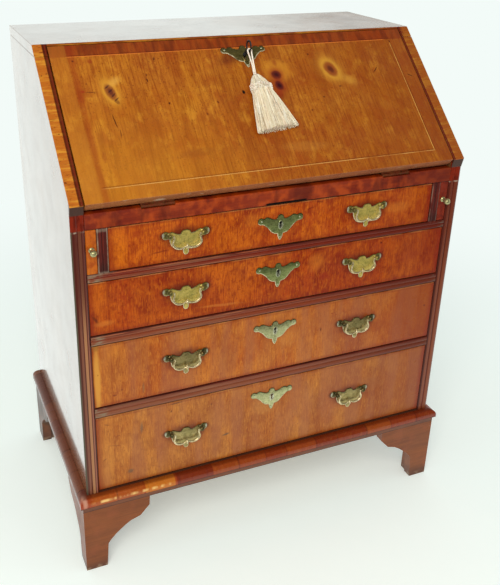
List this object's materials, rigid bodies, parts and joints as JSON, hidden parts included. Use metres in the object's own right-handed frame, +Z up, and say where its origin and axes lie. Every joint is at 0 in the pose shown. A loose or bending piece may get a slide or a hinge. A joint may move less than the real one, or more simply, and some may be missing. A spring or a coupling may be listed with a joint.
{
  "type": "writing bureau",
  "caption": "Walnut bureau with a sloping fall that opens on to pull-out lopers, long drawers with brass drop handles, bracket feet and a tasselled key.",
  "frame": {"origin": "middle of the footprint, on the floor under the feet", "axes": "+X to the right seen from the front, +Y from the drawers towards the back, +Z up"},
  "size_m": [0.814, 0.4872, 0.984],
  "materials": {
    "walnut_board": "waxed",
    "walnut": "polished",
    "golden_walnut": "polished veneer",
    "dark_moulding": "polished",
    "oak": "plain",
    "brass": "aged",
    "iron": "dark",
    "silk": "soft yarn"
  },
  "bodies": {
    "case": {"side_left": "walnut_board", "side_right": "walnut_board", "top_board": "walnut_board", "back_panel": "oak", "bottom_board": "oak", "writing_board": "walnut", "drawer_rail_1": "dark_moulding", "drawer_rail_2": "dark_moulding", "drawer_rail_3": "dark_moulding", "base_moulding": "walnut", "foot_front_left": "walnut", "foot_front_right": "walnut", "foot_back_left": "walnut", "foot_back_right": "walnut", "nest_left": "oak", "nest_right": "oak", "hinge_left_case_leaf": "brass", "hinge_right_case_leaf": "brass"},
    "fall": {"fall_panel": "golden_walnut", "hinge_left_fall_leaf": "brass", "hinge_right_fall_leaf": "brass", "fall_lock": "brass", "fall_escutcheon": "brass"},
    "bolt": {"lock_bolt": "iron"},
    "key": {"key": "iron"},
    "tassel": {"tassel": "silk", "tassel_cord": "silk"},
    "loper_left": {"loper_left": "golden_walnut", "loper_knob_left": "brass"},
    "loper_right": {"loper_right": "golden_walnut", "loper_knob_right": "brass"},
    "drawer_1": {"drawer_1_front": "golden_walnut", "drawer_1_box": "oak", "drawer_1_escutcheon": "brass", "drawer_1_handle_plate_left": "brass", "drawer_1_handle_plate_right": "brass"},
    "drawer_1_bail_left": {"drawer_1_bail_left": "brass"},
    "drawer_1_bail_right": {"drawer_1_bail_right": "brass"},
    "drawer_2": {"drawer_2_front": "golden_walnut", "drawer_2_box": "oak", "drawer_2_escutcheon": "brass", "drawer_2_handle_plate_left": "brass", "drawer_2_handle_plate_right": "brass"},
    "drawer_2_bail_left": {"drawer_2_bail_left": "brass"},
    "drawer_2_bail_right": {"drawer_2_bail_right": "brass"},
    "drawer_3": {"drawer_3_front": "golden_walnut", "drawer_3_box": "oak", "drawer_3_escutcheon": "brass", "drawer_3_handle_plate_left": "brass", "drawer_3_handle_plate_right": "brass"},
    "drawer_3_bail_left": {"drawer_3_bail_left": "brass"},
    "drawer_3_bail_right": {"drawer_3_bail_right": "brass"},
    "drawer_4": {"drawer_4_front": "golden_walnut", "drawer_4_box": "oak", "drawer_4_escutcheon": "brass", "drawer_4_handle_plate_left": "brass", "drawer_4_handle_plate_right": "brass"},
    "drawer_4_bail_left": {"drawer_4_bail_left": "brass"},
    "drawer_4_bail_right": {"drawer_4_bail_right": "brass"},
    "inner_drawer": {"inner_drawer": "oak"}
  },
  "joints": [
    {"name": "fall_hinge", "type": "hinge", "parent": "case", "child": "fall", "pos_m": [0, -0.2215, 0.748], "axis": [1, 0, 0], "range_deg": [0, 138.8]},
    {"name": "key_turn", "type": "hinge", "parent": "fall", "child": "key", "pos_m": [0, -0.03347, 0.95009], "axis": [0, -0.6809, 0.7324], "range_deg": [-90, 0]},
    {"name": "bolt_slide", "type": "slide", "parent": "fall", "child": "bolt", "axis": [0, 0.7324, 0.6809], "range_m": [0, 0.007]},
    {"name": "tassel_swing", "type": "hinge", "parent": "key", "child": "tassel", "pos_m": [0, -0.05632, 0.96746], "axis": [-1, 0, 0], "range_deg": [0, 130]},
    {"name": "loper_left_slide", "type": "slide", "parent": "case", "child": "loper_left", "axis": [0, -1, 0], "range_m": [0, 0.25]},
    {"name": "loper_right_slide", "type": "slide", "parent": "case", "child": "loper_right", "axis": [0, -1, 0], "range_m": [0, 0.25]},
    {"name": "drawer_1_slide", "type": "slide", "parent": "case", "child": "drawer_1", "axis": [0, -1, 0], "range_m": [0, 0.225]},
    {"name": "drawer_1_bail_left_lift", "type": "hinge", "parent": "drawer_1", "child": "drawer_1_bail_left", "pos_m": [-0.1885, -0.2321, 0.68925], "axis": [-1, 0, 0], "range_deg": [0, 88]},
    {"name": "drawer_1_bail_right_lift", "type": "hinge", "parent": "drawer_1", "child": "drawer_1_bail_right", "pos_m": [0.1795, -0.2321, 0.68925], "axis": [-1, 0, 0], "range_deg": [0, 88]},
    {"name": "drawer_2_slide", "type": "slide", "parent": "case", "child": "drawer_2", "axis": [0, -1, 0], "range_m": [0, 0.28]},
    {"name": "drawer_2_bail_left_lift", "type": "hinge", "parent": "drawer_2", "child": "drawer_2_bail_left", "pos_m": [-0.1885, -0.2321, 0.58025], "axis": [-1, 0, 0], "range_deg": [0, 88]},
    {"name": "drawer_2_bail_right_lift", "type": "hinge", "parent": "drawer_2", "child": "drawer_2_bail_right", "pos_m": [0.1795, -0.2321, 0.58025], "axis": [-1, 0, 0], "range_deg": [0, 88]},
    {"name": "drawer_3_slide", "type": "slide", "parent": "case", "child": "drawer_3", "axis": [0, -1, 0], "range_m": [0, 0.28]},
    {"name": "drawer_3_bail_left_lift", "type": "hinge", "parent": "drawer_3", "child": "drawer_3_bail_left", "pos_m": [-0.1885, -0.2321, 0.44275], "axis": [-1, 0, 0], "range_deg": [0, 88]},
    {"name": "drawer_3_bail_right_lift", "type": "hinge", "parent": "drawer_3", "child": "drawer_3_bail_right", "pos_m": [0.1795, -0.2321, 0.44275], "axis": [-1, 0, 0], "range_deg": [0, 88]},
    {"name": "drawer_4_slide", "type": "slide", "parent": "case", "child": "drawer_4", "axis": [0, -1, 0], "range_m": [0, 0.28]},
    {"name": "drawer_4_bail_left_lift", "type": "hinge", "parent": "drawer_4", "child": "drawer_4_bail_left", "pos_m": [-0.1885, -0.2321, 0.27175], "axis": [-1, 0, 0], "range_deg": [0, 88]},
    {"name": "drawer_4_bail_right_lift", "type": "hinge", "parent": "drawer_4", "child": "drawer_4_bail_right", "pos_m": [0.1795, -0.2321, 0.27175], "axis": [-1, 0, 0], "range_deg": [0, 88]},
    {"name": "inner_drawer_slide", "type": "slide", "parent": "case", "child": "inner_drawer", "axis": [0, -1, 0], "range_m": [0, 0.12]}
  ],
  "couplings": [
    {"joint": "bolt_slide", "follows": "key_turn", "m_per_rad": -0.004456}
  ]
}
